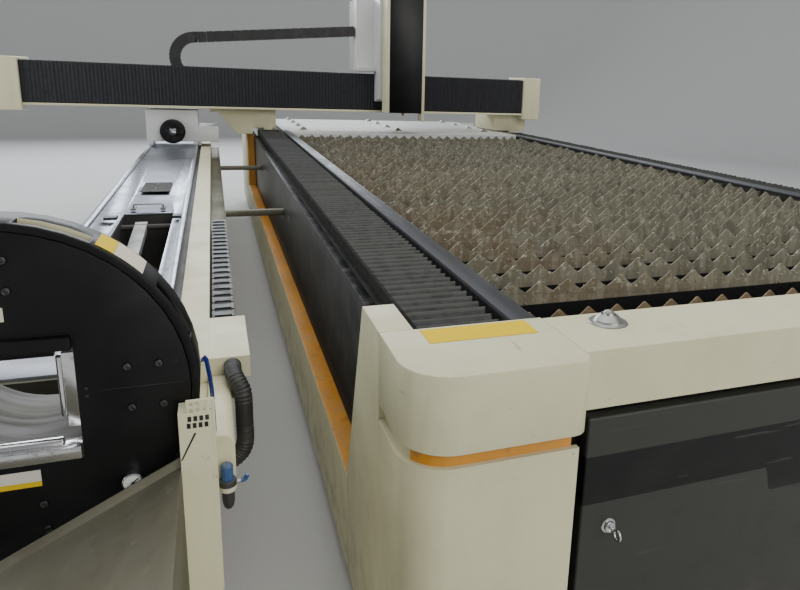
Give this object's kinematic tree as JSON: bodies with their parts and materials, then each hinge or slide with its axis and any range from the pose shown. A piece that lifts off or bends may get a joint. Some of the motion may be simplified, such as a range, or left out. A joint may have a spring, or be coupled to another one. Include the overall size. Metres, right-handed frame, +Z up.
{
  "type": "laser_cutting_machine",
  "caption": "Fibre laser cutter for sheet and tube: slatted bed with rounded front corners, travelling gantry with bellows and head column, and a tube chuck bed alongside.",
  "frame": {"origin": "On the floor, under the middle of the whole machine's bounding box in its rest pose.", "axes": "+X runs across the bed from the tube side, +Y runs along the bed away from the front doors, +Z is up."},
  "size_m": [4.421, 6.92, 2],
  "materials": {
    "cream_paint": "satin powder coat, a little scuffed",
    "dark_grey_paint": "semi-gloss paint",
    "black_paint": "satin black paint",
    "frame_paint": "matt paint",
    "bellows_cloth": "coated cloth, dusty",
    "machined_steel": "ground steel",
    "slat_steel": "scorched steel with slag",
    "galvanised_sheet": "dull zinc coating",
    "white_paint": "satin paint",
    "chrome": "bright plating",
    "black_plastic": "moulded black plastic",
    "blue_plastic": "glossy blue plastic"
  },
  "bodies": {
    "bed": {"bed_frame": "frame_paint", "side_skirt_left": "cream_paint", "side_skirt_right": "cream_paint", "side_panel_left": "dark_grey_paint", "side_panel_right": "dark_grey_paint", "corner_cap_left": "cream_paint", "corner_cap_right": "cream_paint", "corner_post_left": "cream_paint", "corner_post_right": "cream_paint", "front_beam": "cream_paint", "rear_panel": "cream_paint", "slat_grid": "slat_steel", "edge_strip_left": "machined_steel", "edge_strip_right": "machined_steel", "rear_deck": "white_paint", "bellows_left": "bellows_cloth", "bellows_right": "bellows_cloth", "door_hinges": "machined_steel", "tube_bed": "frame_paint", "tube_top_plate": "machined_steel", "tube_side_cover": "cream_paint", "chuck_pedestal": "cream_paint", "chuck_housing": "black_paint", "service_cover": "cream_paint", "chip_guard": "cream_paint", "discharge_chute": "galvanised_sheet", "cable_tray": "galvanised_sheet", "side_chain": "black_plastic", "regulator_body": "black_plastic", "ribbed_hose": "black_plastic", "air_hose": "blue_plastic"},
    "door_left": {"front_door_left": "dark_grey_paint", "door_lock": "chrome"},
    "lock_key": {"lock_key": "chrome"},
    "door_right": {"front_door_right": "dark_grey_paint"},
    "gantry": {"gantry_beam": "frame_paint", "beam_cover": "cream_paint", "beam_cap_left": "cream_paint", "beam_cap_right": "cream_paint", "gantry_leg_left": "cream_paint", "gantry_leg_right": "cream_paint", "beam_bellows_left": "bellows_cloth", "beam_bellows_right": "bellows_cloth", "head_chain_lower": "black_plastic", "head_chain_upper": "black_plastic"},
    "chain_bend": {"head_chain_bend": "black_plastic"},
    "carriage": {"head_carriage": "white_paint", "column_cover": "cream_paint", "column_front": "black_paint"},
    "cutting_head": {"laser_head": "machined_steel"},
    "chuck": {"chuck_face": "black_paint", "pressure_gauge": "chrome"},
    "jaw_top": {"jaw_top": "chrome"},
    "jaw_bottom": {"jaw_bottom": "chrome"},
    "jaw_left": {"jaw_left": "chrome"},
    "jaw_right": {"jaw_right": "chrome"},
    "feeder": {"feed_carriage": "white_paint"},
    "feed_chuck": {"feed_chuck": "black_paint"},
    "support_arm": {"support_arm": "galvanised_sheet"},
    "regulator_knob": {"regulator_knob": "blue_plastic"}
  },
  "joints": [
    {"name": "gantry_travel", "type": "slide", "parent": "bed", "child": "gantry", "axis": [0, 1, 0], "range_m": [-4.7, 0], "deforming": ["bellows_left", "bellows_right"]},
    {"name": "head_travel", "type": "slide", "parent": "gantry", "child": "carriage", "axis": [1, 0, 0], "range_m": [-1.83, 1], "deforming": ["beam_bellows_left", "beam_bellows_right", "head_chain_upper"]},
    {"name": "chain_travel", "type": "slide", "parent": "gantry", "child": "chain_bend", "axis": [1, 0, 0], "range_m": [-0.915, 0.5], "deforming": ["head_chain_lower"]},
    {"name": "z_travel", "type": "slide", "parent": "carriage", "child": "cutting_head", "axis": [0, 0, 1], "range_m": [-0.143, 0]},
    {"name": "door_left_hinge", "type": "hinge", "parent": "bed", "child": "door_left", "pos_m": [0.8525, -2.956, 0.4], "axis": [0, 0, 1], "range_deg": [0, 88]},
    {"name": "door_right_hinge", "type": "hinge", "parent": "bed", "child": "door_right", "pos_m": [0.8705, -2.956, 0.4], "axis": [0, 0, -1], "range_deg": [0, 88]},
    {"name": "lock_turn", "type": "hinge", "parent": "door_left", "child": "lock_key", "pos_m": [-0.0335, -2.98, 0.478], "axis": [0, 1, 0], "range_deg": [0, 90]},
    {"name": "chuck_spin", "type": "hinge", "parent": "bed", "child": "chuck", "pos_m": [-1.0285, -2.856, 0.8265], "axis": [0, 1, 0], "continuous": true},
    {"name": "jaw_top_slide", "type": "slide", "parent": "chuck", "child": "jaw_top", "axis": [0, 0, -1], "range_m": [0, 0.045]},
    {"name": "jaw_bottom_slide", "type": "slide", "parent": "chuck", "child": "jaw_bottom", "axis": [0, 0, 1], "range_m": [0, 0.045]},
    {"name": "jaw_left_slide", "type": "slide", "parent": "chuck", "child": "jaw_left", "axis": [1, 0, 0], "range_m": [0, 0.045]},
    {"name": "jaw_right_slide", "type": "slide", "parent": "chuck", "child": "jaw_right", "axis": [-1, 0, 0], "range_m": [0, 0.045]},
    {"name": "feed_travel", "type": "slide", "parent": "bed", "child": "feeder", "axis": [0, 1, 0], "range_m": [-4.2, 0]},
    {"name": "feed_spin", "type": "hinge", "parent": "feeder", "child": "feed_chuck", "pos_m": [-1.0285, 1.99, 0.8265], "axis": [0, 1, 0], "continuous": true},
    {"name": "support_lift", "type": "hinge", "parent": "bed", "child": "support_arm", "pos_m": [-1.0205, -0.91, 0.668], "axis": [-1, 0, 0], "range_deg": [0, 13]},
    {"name": "regulator_turn", "type": "hinge", "parent": "bed", "child": "regulator_knob", "pos_m": [-0.7245, -2.7464, 0.59], "axis": [0, 0, 1], "range_deg": [0, 300]}
  ],
  "couplings": [
    {"joint": "jaw_bottom_slide", "follows": "jaw_top_slide", "ratio": 1},
    {"joint": "jaw_right_slide", "follows": "jaw_left_slide", "ratio": 1},
    {"joint": "feed_spin", "follows": "chuck_spin", "ratio": 1},
    {"joint": "chain_travel", "follows": "head_travel", "ratio": 0.5}
  ]
}
